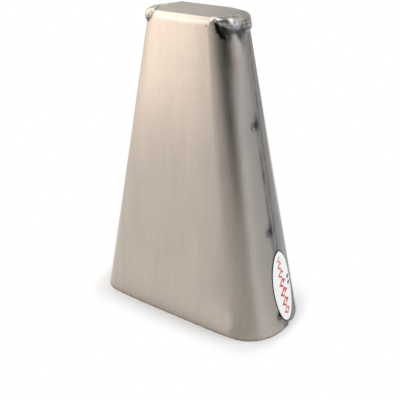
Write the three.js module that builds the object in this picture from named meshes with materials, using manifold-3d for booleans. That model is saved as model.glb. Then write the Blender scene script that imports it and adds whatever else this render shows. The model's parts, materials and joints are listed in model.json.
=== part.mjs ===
// Bongo cowbell: a hand-held steel bell, shown standing on its mouth.
// Units are millimetres and +Z is up. The origin is the centre of the mouth's rim plane,
// the playing face looks to -Y and the right side looks to +X.
//
// The bell is one flat steel blank. It is folded twice over the crown, so that the blank's two
// halves become the front and the back face, and each half's side flanges are bent round to meet
// in a lap seam on each side. Spot welds hold the laps, a tack closes each seam at the mouth, and
// a weld bead closes each rounded end of the crown.

import * as THREE from 'three';
import { mergeVertices } from 'three/addons/utils/BufferGeometryUtils.js';
import Module from 'manifold-3d';

// Outline of the bell, outside sizes
const bellHeight = 220;
const mouthWidth = 157.2;
const mouthDepth = 74.8;
const mouthEndLength = 34.4;
const mouthEndPower = 2.3;
const crownWidth = 62.4;
const crownDepth = 42;
const crownEndLength = 11;
const crownEndPower = 2.1;

// Steel sheet, its folds over the crown and the slit between the crown and the flanges under it
const sheetThickness = 1.6;
const foldRadius = 5;
const crownSlit = 0.3;

// Lap seams: the front flange lies outside, and its edge is just behind the middle of the side
const seamMouthOffset = 0.5;
const seamCrownOffset = 8;
const lapLength = 18;
const lapGap = 0.3;
const tuckLength = 8;
const tuckClearance = 0.6;

// Spot welds, on a line in front of each seam
const spotHeights = { upper: 150, middle: 76, lower: 12 };
const spotSeamOffset = 9;
const spotRadius = 3.5;
const spotDish = 0.4;
const spotSink = 0.2;
const spotGap = 0.3;
const cutOverrun = 2;

// Tacks at the mouth end of the seams
const tackHeight = 2.4;
const tackLift = 0.3;
const tackLength = 3.6;
const tackThickness = 1.7;
const tackEdge = 0.5;
const tackBulgeShare = 0.25;

// Weld beads round the ends of the crown
const beadHeight = 7.5;
const beadTailHeight = 3.4;
const beadThickness = 1.9;
const beadEdge = 0.4;
const beadTopDrop = 0.6;
const beadTailDrop = 5;
const beadSpread = THREE.MathUtils.degToRad(82);
const beadTailPower = 4;
const beadRipples = 9;
const beadRippleShare = 0.2;
const weldGap = 0.3;

// Oval label over the seam of the right side, just above its tack
const labelLength = 56;
const labelWidth = 28;
const labelThickness = 0.3;
const labelGap = 0.3;
const labelTackGap = 0.4;
const labelOffset = 3.8;
const labelLean = THREE.MathUtils.degToRad(3.8);

// Steps of the curved surfaces
const faceSteps = 3;
const heightSteps = 6;
const foldSteps = 5;
const crownSteps = 4;
const earSteps = 4;
const frontFlangeSteps = 22;
const backFlangeSteps = 15;
const tuckSteps = 6;
const lapSteps = 6;
const spotSides = 18;
const spotDishSteps = 3;
const tackSteps = 3;
const beadSteps = 40;
const beadBulgeSteps = 5;
const labelRings = 4;
const labelSides = 32;
const mergeGrid = 1e-4;

// Names and values that several pieces share
const quarterTurn = Math.PI / 2;
const halfTurn = Math.PI;
const fullTurn = Math.PI * 2;
const mix = THREE.MathUtils.lerp;
const right = 1;
const left = -1;
const sides = { right, left };
const foldStart = bellHeight - foldRadius;
const innerFoldRadius = foldRadius - sheetThickness;
const lapInset = sheetThickness + lapGap;
const lapDepth = lapInset + sheetThickness;

const steel = new THREE.MeshStandardMaterial({ color: 0xb9aea1, metalness: 0.9, roughness: 0.38 });
const beadMetal = new THREE.MeshStandardMaterial({ color: 0x9b968f, metalness: 0.9, roughness: 0.3 });
const spotMetal = new THREE.MeshStandardMaterial({ color: 0x7d7973, metalness: 0.85, roughness: 0.42 });
const labelPaper = new THREE.MeshStandardMaterial({ color: 0xf6f1ec, metalness: 0, roughness: 0.45 });

// Outline of the bell at one height: a flat front and back, and two rounded ends
function outlineAt(z) {
  const rise = z / bellHeight;
  const endLength = mix(mouthEndLength, crownEndLength, rise);
  return {
    endLength,
    flatHalf: mix(mouthWidth, crownWidth, rise) / 2 - endLength,
    halfDepth: mix(mouthDepth, crownDepth, rise) / 2,
    power: mix(mouthEndPower, crownEndPower, rise),
  };
}

// Point on a rounded side. The angle runs from the front face at minus a quarter turn, through
// the middle of the side at zero, to the back face at a quarter turn.
function sidePoint(side, angle, z, inset) {
  const { endLength, flatHalf, halfDepth, power } = outlineAt(z);
  const across = Math.abs(Math.cos(angle)) ** (2 / power);
  const along = Math.sign(angle) * Math.abs(Math.sin(angle)) ** (2 / power);
  return new THREE.Vector3(
    side * (flatHalf + (endLength - inset) * across),
    (halfDepth - inset) * along,
    z,
  );
}

// Angle at which a side passes a given distance behind its middle
function angleAt(y, z) {
  const { halfDepth, power } = outlineAt(z);
  return Math.sign(y) * Math.asin((Math.abs(y) / halfDepth) ** (power / 2));
}

// Distance of the front flange's edge behind the middle of the side
function seamAt(z) {
  return mix(seamMouthOffset, seamCrownOffset, z / bellHeight);
}

// Depth of the back flange's outer skin, this far behind the front flange's edge
function tuckInset(behind) {
  const share = (behind - tuckClearance) / tuckLength;
  return lapInset * (1 - THREE.MathUtils.smoothstep(share, 0, 1));
}

// Corner of a piece of sheet: a point of its outer skin and the one of its inner skin
function sideCorner(side, angle, z, outerInset, innerInset) {
  return {
    outer: sidePoint(side, angle, z, outerInset),
    inner: sidePoint(side, angle, z, innerInset),
  };
}

// Cells of one block of sheet, each a ring of four corners, anticlockwise from outside where the
// columns run to the right and the rows run up
function cells(columns, rows, cornerAt, turned = false) {
  const found = [];
  for (let i = 0; i < columns; i += 1) {
    for (let j = 0; j < rows; j += 1) {
      const ring = [cornerAt(i, j), cornerAt(i + 1, j), cornerAt(i + 1, j + 1), cornerAt(i, j + 1)];
      found.push(turned ? ring.reverse() : ring);
    }
  }
  return found;
}

// Closed solid of sheet cells: both skins, and a wall along each free edge
function sheetGeometry(found) {
  const ids = new Map();
  const positions = [];
  const idOf = ({ outer, inner }) => {
    const place = [...outer.toArray(), ...inner.toArray()];
    const key = place.map((value) => Math.round(value / mergeGrid)).join(' ');
    if (!ids.has(key)) {
      ids.set(key, ids.size);
      positions.push(...place);
    }
    return ids.get(key);
  };
  const outside = (id) => 2 * id;
  const inside = (id) => 2 * id + 1;
  const edges = new Map();
  const index = [];
  for (const cell of found) {
    const corners = cell.map(idOf);
    const ring = corners.filter((id, k) => id !== corners[(k + 1) % corners.length]);
    for (let k = 0; k < ring.length; k += 1) {
      const next = ring[(k + 1) % ring.length];
      edges.set(`${ring[k]} ${next}`, [ring[k], next]);
    }
    for (let k = 1; k + 1 < ring.length; k += 1) {
      index.push(outside(ring[0]), outside(ring[k]), outside(ring[k + 1]));
      index.push(inside(ring[0]), inside(ring[k + 1]), inside(ring[k]));
    }
  }
  for (const [from, to] of edges.values()) {
    if (!edges.has(`${to} ${from}`)) {
      index.push(outside(to), outside(from), inside(from));
      index.push(outside(to), inside(from), inside(to));
    }
  }
  const geometry = new THREE.BufferGeometry();
  geometry.setAttribute('position', new THREE.Float32BufferAttribute(positions, 3));
  geometry.setIndex(index);
  return geometry;
}

// Rows of the middle strip of the blank: up the front face, over the crown, down the back face
function stripRows() {
  const half = [];
  for (let j = 0; j < heightSteps; j += 1) {
    const z = foldStart * j / heightSteps;
    const { flatHalf, halfDepth } = outlineAt(z);
    half.push({ flatHalf, y: -halfDepth, z, innerY: sheetThickness - halfDepth, innerZ: z });
  }
  for (let j = 0; j <= foldSteps; j += 1) {
    const bend = quarterTurn * j / foldSteps;
    const z = foldStart + foldRadius * Math.sin(bend);
    const { flatHalf, halfDepth } = outlineAt(z);
    half.push({
      flatHalf,
      y: foldRadius * (1 - Math.cos(bend)) - halfDepth,
      z,
      innerY: sheetThickness + innerFoldRadius * (1 - Math.cos(bend)) - halfDepth,
      innerZ: foldStart + innerFoldRadius * Math.sin(bend),
    });
  }
  const crownStart = half[half.length - 1];
  const crown = [];
  for (let j = 1; j < crownSteps; j += 1) {
    const y = mix(crownStart.y, -crownStart.y, j / crownSteps);
    crown.push({ ...crownStart, y, innerY: y });
  }
  const otherHalf = half.map((row) => ({ ...row, y: -row.y, innerY: -row.innerY })).reverse();
  return [...half, ...crown, ...otherHalf];
}

// Corner of a strip row at a given distance from the bell's middle
function rowCorner(row, x) {
  return {
    outer: new THREE.Vector3(x, row.y, row.z),
    inner: new THREE.Vector3(x, row.innerY, row.innerZ),
  };
}

// Corner of a crown ear: it runs on from the strip, and its edge follows the rounded end
function earCorner(side, row, share) {
  const edge = sidePoint(side, angleAt(row.y, row.z), row.z, 0);
  return rowCorner(row, mix(side * row.flatHalf, edge.x, share));
}

// Height at which a flange ends under the crown and its folds, at this distance from the middle
function flangeTop(y) {
  const intoFold = Math.max(0, Math.abs(y) - (crownDepth / 2 - foldRadius));
  const roof = Math.sqrt(Math.max(0, innerFoldRadius ** 2 - intoFold ** 2));
  return foldStart + Math.max(0, roof - crownSlit);
}

// Corner of the front flange, which runs from the front face to the seam
function frontFlangeCorner(side, column, row) {
  const reach = (z) => mix(-quarterTurn, angleAt(seamAt(z), z), column / frontFlangeSteps);
  const top = flangeTop(sidePoint(side, reach(bellHeight), bellHeight, 0).y);
  const z = top * row / heightSteps;
  return sideCorner(side, reach(z), z, 0, sheetThickness);
}

// Corner of the back flange, which runs round the side, tucks in and ends under the front flange
function backFlangeCorner(side, column, row) {
  const tucked = (column - backFlangeSteps) / tuckSteps;
  const lapped = (column - backFlangeSteps - tuckSteps) / lapSteps;
  const behindSeam = tucked <= 1
    ? mix(tuckClearance + tuckLength, tuckClearance, tucked)
    : mix(tuckClearance, -lapLength, lapped);
  const reach = (z) => {
    if (tucked < 0) {
      const tuckStart = angleAt(seamAt(z) + tuckClearance + tuckLength, z);
      return mix(quarterTurn, tuckStart, column / backFlangeSteps);
    }
    return angleAt(seamAt(z) + behindSeam, z);
  };
  const inset = tucked < 0 ? 0 : tuckInset(behindSeam);
  const top = flangeTop(sidePoint(side, reach(bellHeight), bellHeight, 0).y);
  const z = top * row / heightSteps;
  return sideCorner(side, reach(z), z, inset, inset + sheetThickness);
}

// The folded blank, still without the spot welds' places
function blankGeometry() {
  const rows = stripRows();
  const stripCorner = (i, j) => rowCorner(rows[j], mix(-rows[j].flatHalf, rows[j].flatHalf, i / faceSteps));
  const earRows = 2 * foldSteps + crownSteps;
  const backColumns = backFlangeSteps + tuckSteps + lapSteps;
  const found = cells(faceSteps, rows.length - 1, stripCorner);
  for (const side of Object.values(sides)) {
    const turned = side === left;
    const ear = (i, j) => earCorner(side, rows[heightSteps + j], i / earSteps);
    found.push(...cells(earSteps, earRows, ear, turned));
    found.push(...cells(frontFlangeSteps, heightSteps, (i, j) => frontFlangeCorner(side, i, j), turned));
    found.push(...cells(backColumns, heightSteps, (i, j) => backFlangeCorner(side, i, j), !turned));
  }
  return sheetGeometry(found);
}

// Place and direction of a spot weld's axis, which stands square on the side
function spotPlace(side, z) {
  const angle = angleAt(seamAt(z) - spotSeamOffset, z);
  const here = sidePoint(side, angle, z, 0);
  const round = sidePoint(side, angle + mergeGrid, z, 0).sub(here);
  const up = sidePoint(side, angle, z + mergeGrid, 0).sub(here);
  return { position: here, direction: round.cross(up).multiplyScalar(side).normalize() };
}

// Spot weld: a slug through both flanges with dished ends
function spotGeometry() {
  const outer = [];
  const inner = [];
  for (let j = 0; j <= spotDishSteps; j += 1) {
    const share = j / spotDishSteps;
    const dish = spotDish * (1 - share ** 2);
    outer.push(new THREE.Vector2(spotRadius * share, -spotSink - dish));
    inner.push(new THREE.Vector2(spotRadius * share, spotSink + dish - lapDepth));
  }
  return new THREE.LatheGeometry([...inner, ...outer.reverse()], spotSides);
}

function placed(object, { position, direction }) {
  object.position.copy(position);
  object.quaternion.setFromUnitVectors(new THREE.Vector3(0, 1, 0), direction);
  object.updateMatrix();
  return object;
}

// Joins and cuts
const wasm = await Module();
wasm.setup();

function solidOf(geometry) {
  const bare = geometry.clone();
  bare.deleteAttribute('normal');
  bare.deleteAttribute('uv');
  const merged = mergeVertices(bare, mergeGrid);
  return new wasm.Manifold(new wasm.Mesh({
    numProp: 3,
    vertProperties: new Float32Array(merged.attributes.position.array),
    triVerts: new Uint32Array(merged.index.array),
  }));
}

function geometryOf(solid) {
  const { vertProperties, triVerts } = solid.getMesh();
  const geometry = new THREE.BufferGeometry();
  geometry.setAttribute('position', new THREE.Float32BufferAttribute(vertProperties, 3));
  geometry.setIndex(new THREE.Uint32BufferAttribute(triVerts, 1));
  return geometry;
}

// Body: the folded blank, cut where the spot welds go through it
function bodyGeometry() {
  const cutLength = lapDepth + 2 * cutOverrun;
  const cutRadius = spotRadius + spotGap;
  let body = solidOf(blankGeometry());
  for (const side of Object.values(sides)) {
    for (const z of Object.values(spotHeights)) {
      const cut = new THREE.CylinderGeometry(cutRadius, cutRadius, cutLength, spotSides);
      cut.translate(0, cutOverrun - cutLength / 2, 0);
      const holder = placed(new THREE.Object3D(), spotPlace(side, z));
      body = body.subtract(solidOf(cut.applyMatrix4(holder.matrix)));
    }
  }
  return geometryOf(body);
}

// Weld bead round one end of the crown, thickest along its middle, with lower, thinner tails
function beadGeometry(side) {
  const beadCorner = (i, j) => {
    const angle = mix(-beadSpread, beadSpread, i / beadSteps);
    const tail = Math.abs(angle / beadSpread) ** beadTailPower;
    const drop = mix(beadTopDrop, beadTailDrop, tail);
    const height = mix(beadHeight, beadTailHeight, tail);
    const share = j / beadBulgeSteps;
    const z = bellHeight - drop - height * (1 - share);
    const ripple = 1 + beadRippleShare * Math.sin(2 * beadRipples * angle) * Math.cos(halfTurn * share);
    const bulge = beadThickness * Math.sin(halfTurn * share) * ripple * (1 - tail / 2);
    return sideCorner(side, angle, z, -weldGap - Math.max(beadEdge, bulge), -weldGap);
  };
  return sheetGeometry(cells(beadSteps, beadBulgeSteps, beadCorner, side === left));
}

// Tack that fills the step behind the front flange's edge at the mouth
function tackGeometry(side) {
  const tackCorner = (i, j) => {
    const z = tackLift + tackHeight * j / tackSteps;
    const share = i / tackSteps;
    const behind = weldGap + tackLength * share;
    const bulge = Math.sin(halfTurn * mix(tackBulgeShare, 1 - tackBulgeShare, j / tackSteps));
    const thickness = mix(tackThickness, tackEdge, share) * bulge;
    const seat = tuckInset(behind) - weldGap;
    return sideCorner(side, angleAt(seamAt(z) + behind, z), z, seat - thickness, seat);
  };
  return sheetGeometry(cells(tackSteps, tackSteps, tackCorner, side === left));
}

// Oval label, wrapped round the side with its long axis up the seam
function labelGeometry() {
  const slope = Math.atan2((mouthWidth - crownWidth) / 2, bellHeight);
  const middle = tackLift + tackHeight + labelTackGap + labelLength / 2 * Math.cos(slope);
  const labelCorner = (i, j) => {
    const turn = fullTurn * j / labelSides;
    const oval = new THREE.Vector2(labelWidth / 2 * Math.cos(turn), labelLength / 2 * Math.sin(turn));
    const spot = oval.multiplyScalar(i / labelRings).rotateAround(new THREE.Vector2(), -labelLean);
    const z = middle + spot.y * Math.cos(slope);
    const { halfDepth } = outlineAt(z);
    const y = halfDepth * Math.sin((labelOffset + spot.x) / halfDepth);
    return sideCorner(right, angleAt(y, z), z, -labelGap - labelThickness, -labelGap);
  };
  return sheetGeometry(cells(labelRings, labelSides, labelCorner));
}

// Assembly
const cowbell = new THREE.Group();

function addPiece(name, geometry, material) {
  const mesh = new THREE.Mesh(geometry, material);
  mesh.name = name;
  cowbell.add(mesh);
  return mesh;
}

addPiece('body_sheet', bodyGeometry(), steel);
for (const [sideName, side] of Object.entries(sides)) {
  addPiece(`${sideName}_crown_weld`, beadGeometry(side), beadMetal);
  for (const [level, z] of Object.entries(spotHeights)) {
    placed(addPiece(`${sideName}_spot_weld_${level}`, spotGeometry(), spotMetal), spotPlace(side, z));
  }
  addPiece(`${sideName}_mouth_tack`, tackGeometry(side), beadMetal);
}
addPiece('oval_label', labelGeometry(), labelPaper);

export default cowbell;
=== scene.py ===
# Bongo cowbell: the looks of the folded steel bell, its welds and its oval label, on a pale floor.
# Lengths are in metres and written in millimetres times MM, +Z is up, the playing face looks to -Y.
import json
import math

import bmesh
import bpy
import numpy as np
from mathutils import Matrix, Vector, noise

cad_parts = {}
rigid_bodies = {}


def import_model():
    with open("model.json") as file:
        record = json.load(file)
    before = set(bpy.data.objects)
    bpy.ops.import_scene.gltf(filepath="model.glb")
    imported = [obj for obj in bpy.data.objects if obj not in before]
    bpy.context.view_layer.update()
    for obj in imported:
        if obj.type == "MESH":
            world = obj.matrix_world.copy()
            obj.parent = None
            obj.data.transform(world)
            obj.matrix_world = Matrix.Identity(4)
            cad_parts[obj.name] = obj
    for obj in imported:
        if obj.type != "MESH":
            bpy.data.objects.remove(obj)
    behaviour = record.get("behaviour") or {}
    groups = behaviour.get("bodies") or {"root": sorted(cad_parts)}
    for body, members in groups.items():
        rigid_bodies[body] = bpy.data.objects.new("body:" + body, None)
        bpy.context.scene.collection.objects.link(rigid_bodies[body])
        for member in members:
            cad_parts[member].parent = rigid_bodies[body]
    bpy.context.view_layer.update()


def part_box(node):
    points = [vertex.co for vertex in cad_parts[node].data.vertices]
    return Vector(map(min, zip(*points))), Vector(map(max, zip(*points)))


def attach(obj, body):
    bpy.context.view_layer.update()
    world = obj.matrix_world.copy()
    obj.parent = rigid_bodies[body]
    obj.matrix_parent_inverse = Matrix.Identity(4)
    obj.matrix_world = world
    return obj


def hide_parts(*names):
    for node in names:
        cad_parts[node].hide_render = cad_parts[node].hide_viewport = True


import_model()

MM = 0.001
DEG = math.pi / 180
QUARTER_TURN = math.pi / 2
FULL_TURN = 2 * math.pi
RIGHT = 1
LEFT = -1
SIDES = {"right": RIGHT, "left": LEFT}

# Outline of the bell, from the frame and from the sizes that the frame was made with
BELL_LOW, BELL_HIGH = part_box("body_sheet")
BELL_HEIGHT = BELL_HIGH.z - BELL_LOW.z
MOUTH_WIDTH = BELL_HIGH.x - BELL_LOW.x
MOUTH_DEPTH = BELL_HIGH.y - BELL_LOW.y
MOUTH_END_LENGTH = 34.4 * MM
MOUTH_END_POWER = 2.3
CROWN_WIDTH = 62.4 * MM
CROWN_DEPTH = 42 * MM
CROWN_END_LENGTH = 11 * MM
CROWN_END_POWER = 2.1

# Steel sheet and its folds over the crown
SHEET = 1.6 * MM
FOLD_RADIUS = 5 * MM
FOLD_START = BELL_HEIGHT - FOLD_RADIUS
INNER_FOLD_RADIUS = FOLD_RADIUS - SHEET
FOLD_FADE = 4 * FOLD_RADIUS
EDGE_ROUND = 0.3 * MM
EDGE_SEGMENTS = 3
EDGE_ANGLE = 50 * DEG
WAVE_DEPTH = 0.10 * MM
WAVE_LENGTH = 42 * MM

# Bends between the flat faces and the rounded ends. The left front one is tighter: it stands out by a share
# of the end's length
EASE_DEPTH = 0.55 * MM
EASE_MIDDLE = 4 * MM
EASE_REACH = 9 * MM
FILL_DEPTH = 0.044
FILL_MIDDLE = 0.58
FILL_REACH = 0.23
FILL_BLEND = 30 * DEG

# Dip of the crown
SAG_DEPTH = 1.2 * MM
SAG_START = 13 * MM
SAG_LENGTH = 14 * MM
SAG_BACK_START = -3 * MM
SAG_BACK_LENGTH = 20 * MM

# Lap seams
SEAM_MOUTH_OFFSET = 0.5 * MM
SEAM_CROWN_OFFSET = 8 * MM
SEAM_BOW = 1.5 * MM
SEAM_FRAY = 0.3 * MM
SEAM_FRAY_LENGTH = 6 * MM
LAP_LENGTH = 18 * MM
LAP_GAP = 0.3 * MM
LAP_INSET = SHEET + LAP_GAP
TUCK_LENGTH = 8 * MM
TUCK_CLEARANCE = 0.6 * MM

# Spot welds
SPOT_HEIGHTS = {"upper": 150 * MM, "middle": 76 * MM, "lower": 12 * MM}
SPOT_SEAM_OFFSET = 9 * MM
SPOT_RADIUS = 3.5 * MM
SPOT_DISH_RADIUS = 4.9 * MM
SPOT_DISH_DEPTH = 0.9 * MM

# Ends of the crown, where the weld has melted the ears' edges round. For each angle in degrees: reach over
# the crown, rounding across and down, lower edge, bulge and rise, in millimetres
ENDS = {
    RIGHT: [
        (-90, 5.5, 0.8, 0.8, 219.2, 0.1, 0.3),
        (-78, 6.5, 1.2, 1.2, 218.0, 0.5, 0.6),
        (-68, 7.4, 1.5, 1.5, 216.6, 1.4, 0.8),
        (-58, 8.2, 1.8, 2.0, 215.2, 1.0, 0.8),
        (-48, 8.8, 2.2, 2.6, 213.8, 0.5, 0.7),
        (-36, 8.4, 2.4, 3.0, 212.4, 0.5, 0.6),
        (-20, 6.5, 2.6, 3.2, 210.2, 1.4, 0.45),
        (-4, 5.0, 2.8, 3.2, 209.2, 1.3, 0.2),
        (12, 4.8, 2.8, 2.8, 207.6, 1.4, 0.1),
        (32, 6.0, 2.8, 2.6, 206.8, 1.8, 0.05),
        (52, 7.0, 3.0, 2.6, 207.2, 1.6, 0.05),
        (74, 6.0, 2.4, 2.2, 210.5, 0.8, 0.05),
        (90, 4.0, 1.4, 1.4, 213.5, 0.3, 0.05),
    ],
    LEFT: [
        (-90, 2.2, 0.8, 0.8, 218.6, 0.4, 0.4),
        (-82, 3.8, 1.0, 1.2, 216.2, 1.2, 0.8),
        (-72, 5.2, 1.3, 1.6, 214.2, 1.9, 0.9),
        (-60, 6.4, 1.5, 2.0, 212.0, 2.1, 1.0),
        (-48, 6.2, 1.6, 2.2, 211.0, 1.9, 1.1),
        (-36, 5.8, 1.6, 2.2, 211.0, 1.7, 1.1),
        (-22, 4.8, 1.7, 2.6, 211.2, 1.4, 1.1),
        (-5, 4.4, 2.2, 3.0, 211.0, 1.1, 0.8),
        (20, 5.2, 3.0, 3.0, 210.4, 1.0, 0.25),
        (50, 7.0, 4.0, 3.8, 210.4, 0.8, 0.1),
        (74, 6.0, 3.4, 3.0, 211.6, 0.5, 0.05),
        (90, 4.0, 1.6, 1.6, 213.5, 0.2, 0.05),
    ],
}


def mix(low, high, share):
    return low + (high - low) * share


def smoothstep(share):
    share = min(max(share, 0.0), 1.0)
    return share * share * (3 - 2 * share)


def hump(distance, width):
    return math.exp(-(distance / width) ** 2)


def read_off(place, table):
    """Value at a place between the rows of a table of places and values."""
    return float(np.interp(place, *zip(*table)))


def wander(seed, z, length):
    """Smooth random value from -1 to 1 that changes up the bell over a length."""
    return noise.noise(Vector((seed, 0, z / length)))


def outline_at(z):
    """Length of the rounded ends, half widths and roundness of the bell at a height."""
    rise = z / BELL_HEIGHT
    end_length = mix(MOUTH_END_LENGTH, CROWN_END_LENGTH, rise)
    flat_half = mix(MOUTH_WIDTH, CROWN_WIDTH, rise) / 2 - end_length
    half_depth = mix(MOUTH_DEPTH, CROWN_DEPTH, rise) / 2
    power = mix(MOUTH_END_POWER, CROWN_END_POWER, rise)
    return end_length, flat_half, half_depth, power


def corner_ease(away, z):
    """Depth by which the bends round off the flat faces, this far aside of the place where a bend starts."""
    fade = smoothstep((BELL_HEIGHT - z) / FOLD_RADIUS)
    return EASE_DEPTH * fade * hump(away - EASE_MIDDLE, EASE_REACH)


def corner_fill(side, angle, z, away, end_length):
    """Depth by which the left front bend stands out, because it is tighter than the right one."""
    if side == RIGHT or angle >= 0:
        return 0.0
    fade = smoothstep((BELL_HEIGHT - z) / FOLD_FADE) * smoothstep(-angle / FILL_BLEND)
    return FILL_DEPTH * end_length * fade * hump(away / end_length - FILL_MIDDLE, FILL_REACH)


def crown_sag(x, y):
    """Dip of the crown towards its right back corner, where the heat of the weld let it sink."""
    aside = smoothstep((x - SAG_START) / SAG_LENGTH)
    behind = smoothstep((y - SAG_BACK_START) / SAG_BACK_LENGTH)
    return SAG_DEPTH * aside * behind


def crown_height(place):
    """Height of the crown's and its folds' outer skin above a place."""
    into_fold = min(max(0.0, abs(place.y) - (CROWN_DEPTH / 2 - FOLD_RADIUS)), FOLD_RADIUS)
    rise = math.sqrt(FOLD_RADIUS ** 2 - into_fold ** 2)
    return FOLD_START + rise - crown_sag(place.x, place.y) * rise / FOLD_RADIUS


def side_point(side, angle, z, inset):
    """Point on a rounded side, from the front face at -90 degrees to the back face at 90."""
    end_length, flat_half, half_depth, power = outline_at(z)
    across = abs(math.cos(angle)) ** (2 / power)
    along = math.copysign(abs(math.sin(angle)) ** (2 / power), angle)
    away = (end_length - inset) * across
    ease = math.copysign(corner_ease(away, z), angle) + corner_fill(side, angle, z, away, end_length)
    return Vector((side * (flat_half + away), (half_depth - inset) * along - ease, z))


def angle_at(y, z):
    """Angle at which a side passes a given distance behind its middle."""
    _, _, half_depth, power = outline_at(z)
    share = min(abs(y) / half_depth, 1.0)
    return math.copysign(math.asin(share ** (power / 2)), y)


def side_normal(side, angle, z):
    """Direction in which a side faces."""
    step = 1e-4
    here = side_point(side, angle, z, 0)
    around = side_point(side, angle + step, z, 0) - here
    upward = side_point(side, angle, z + step * BELL_HEIGHT, 0) - here
    return around.cross(upward).normalized() * side


def surface_axes(side, angle, z):
    """Directions round the side, up it and out of it."""
    out = side_normal(side, angle, z)
    around = Vector((0, 0, 1)).cross(out).normalized()
    return around, out.cross(around), out


def seam_at(z):
    """Distance of the front flange's edge behind the middle of the side."""
    return mix(SEAM_MOUTH_OFFSET, SEAM_CROWN_OFFSET, z / BELL_HEIGHT)


def seam_edge(side, z):
    """Distance of the front flange's real, slightly wavy edge from its straight line."""
    return SEAM_FRAY * wander(side, z, SEAM_FRAY_LENGTH) - SEAM_BOW * math.sin(math.pi * z / BELL_HEIGHT)


def tuck_inset(behind):
    """Depth of the back flange's outer skin, this far behind the front flange's edge."""
    return LAP_INSET * (1 - smoothstep((behind - TUCK_CLEARANCE) / TUCK_LENGTH))


def spot_places(side):
    """Name and middle of each spot weld of one side."""
    found = []
    for level, z in SPOT_HEIGHTS.items():
        angle = angle_at(seam_at(z) - SPOT_SEAM_OFFSET, z)
        found.append((level, side_point(side, angle, z, 0)))
    return found


SPOTS = {side: spot_places(side) for side in SIDES.values()}


def sheet_wave(point):
    """Slight unevenness of the pressed sheet, zero at the crown."""
    return WAVE_DEPTH * smoothstep((FOLD_START - point.z) / FOLD_FADE) * noise.noise(point / WAVE_LENGTH)


def spot_dish(side, point):
    """Share of the full depth that the electrodes pressed into the sheet near a spot weld."""
    nearest = min((point - middle).length for _, middle in SPOTS[side])
    return 1 - smoothstep(nearest / SPOT_DISH_RADIUS)


def end_form(side, angle):
    """Reach, rounding across and down, lower edge, bulge and rise of a melted crown end, at an angle."""
    degrees = angle / DEG
    for first, second in zip(ENDS[side], ENDS[side][1:]):
        if degrees <= second[0]:
            break
    share = smoothstep((degrees - first[0]) / (second[0] - first[0]))
    return [mix(low, high, share) * MM for low, high in zip(first[1:], second[1:])]


# Meshes and objects
class Sheet:
    """Closed mesh of bent sheet, made of grids of corners; each corner has its two skins' points."""

    def __init__(self):
        self.ids = {}
        self.points = []
        self.faces = []
        self.edges = {}

    def corner(self, outer, inner):
        key = tuple(round(value / (0.01 * MM)) for value in (*outer, *inner))
        if key not in self.ids:
            self.ids[key] = len(self.ids)
            self.points += [outer, inner]
        return self.ids[key]

    def block(self, columns, rows, corner_at, turned=False):
        grid = [[self.corner(*corner_at(i, j)) for j in range(rows + 1)] for i in range(columns + 1)]
        for i in range(columns):
            for j in range(rows):
                ring = [grid[i][j], grid[i + 1][j], grid[i + 1][j + 1], grid[i][j + 1]]
                self.cell(ring[::-1] if turned else ring)

    def cell(self, ring):
        ring = [here for k, here in enumerate(ring) if here != ring[k - 1]]
        if len(ring) < 3:
            return
        for k, here in enumerate(ring):
            self.edges[ring[k - 1], here] = True
        self.faces.append([2 * here for here in ring])
        self.faces.append([2 * here + 1 for here in reversed(ring)])

    def mesh(self, name):
        walls = []
        for here, there in self.edges:
            if (there, here) not in self.edges:
                walls.append((2 * there, 2 * here, 2 * here + 1, 2 * there + 1))
        return new_mesh(name, self.points, self.faces + walls)


def new_mesh(name, points, faces):
    mesh = bpy.data.meshes.new(name)
    mesh.from_pydata([tuple(point) for point in points], [], faces)
    mesh.update()
    return mesh


def grid_faces(columns, ring, looped, start=0):
    """Faces of a grid of vertices that runs ring after ring. A looped ring closes on itself."""
    faces = []
    for i in range(columns):
        base = start + i * ring
        for k in range(ring if looped else ring - 1):
            here = base + k
            there = base + (k + 1) % ring
            faces.append((here, here + ring, there + ring, there))
    return faces


def merge_close(mesh):
    """Merges vertices that lie on each other, such as those of a pole."""
    work = bmesh.new()
    work.from_mesh(mesh)
    bmesh.ops.remove_doubles(work, verts=work.verts, dist=0.002 * MM)
    bmesh.ops.recalc_face_normals(work, faces=work.faces)
    work.to_mesh(mesh)
    work.free()


def add_object(name, data):
    thing = bpy.data.objects.new(name, data)
    bpy.context.scene.collection.objects.link(thing)
    return thing


def add_piece(name, mesh, material, slot, *nodes):
    """A piece that rides on the bell, smooth-shaded, in place of the named nodes."""
    piece = add_object(name, mesh)
    mesh.shade_smooth()
    mesh.materials.append(material)
    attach(piece, "root")
    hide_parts(*nodes)
    return piece


# Rows and columns of the body's grids
def spread_values(low, high, step, fine_step, fine_places, fine_reach):
    """Values from low to high, close together near the fine places."""
    values = [low]
    while values[-1] < high:
        near = min(abs(values[-1] - place) for place in fine_places)
        share = smoothstep((near - fine_reach) / fine_reach)
        values.append(values[-1] + mix(fine_step, step, share))
    count = len(values) - 1
    overshoot = values[-1] - high
    return [value - overshoot * i / count for i, value in enumerate(values)]


ROW_STEP = 3.4 * MM
FINE_STEP = 0.75 * MM
FINE_REACH = 5 * MM
FINE_ROWS = [0.0, *SPOT_HEIGHTS.values(), FOLD_START]
HEIGHTS = spread_values(0.0, FOLD_START, ROW_STEP, FINE_STEP, FINE_ROWS, FINE_REACH)
ROWS = len(HEIGHTS) - 1
FACE_COLUMNS = 24
FOLD_ROWS = 14
CROWN_ROWS = 16
EAR_COLUMNS = 12
EAR_STEPS = 90
EAR_COVER = 2.2 * MM
EAR_BLEND = 30 * DEG
FLANGE_COVER = 1.5 * MM
FLANGE_GAP = 0.3 * MM
FLANGE_BLEND = 8 * DEG
FRONT_COLUMNS = 44
BAND_COLUMNS = 34
BAND_WIDTH = 16 * MM
BACK_COLUMNS = 44
TUCK_COLUMNS = 14
TUCKED_COLUMNS = 14


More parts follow.
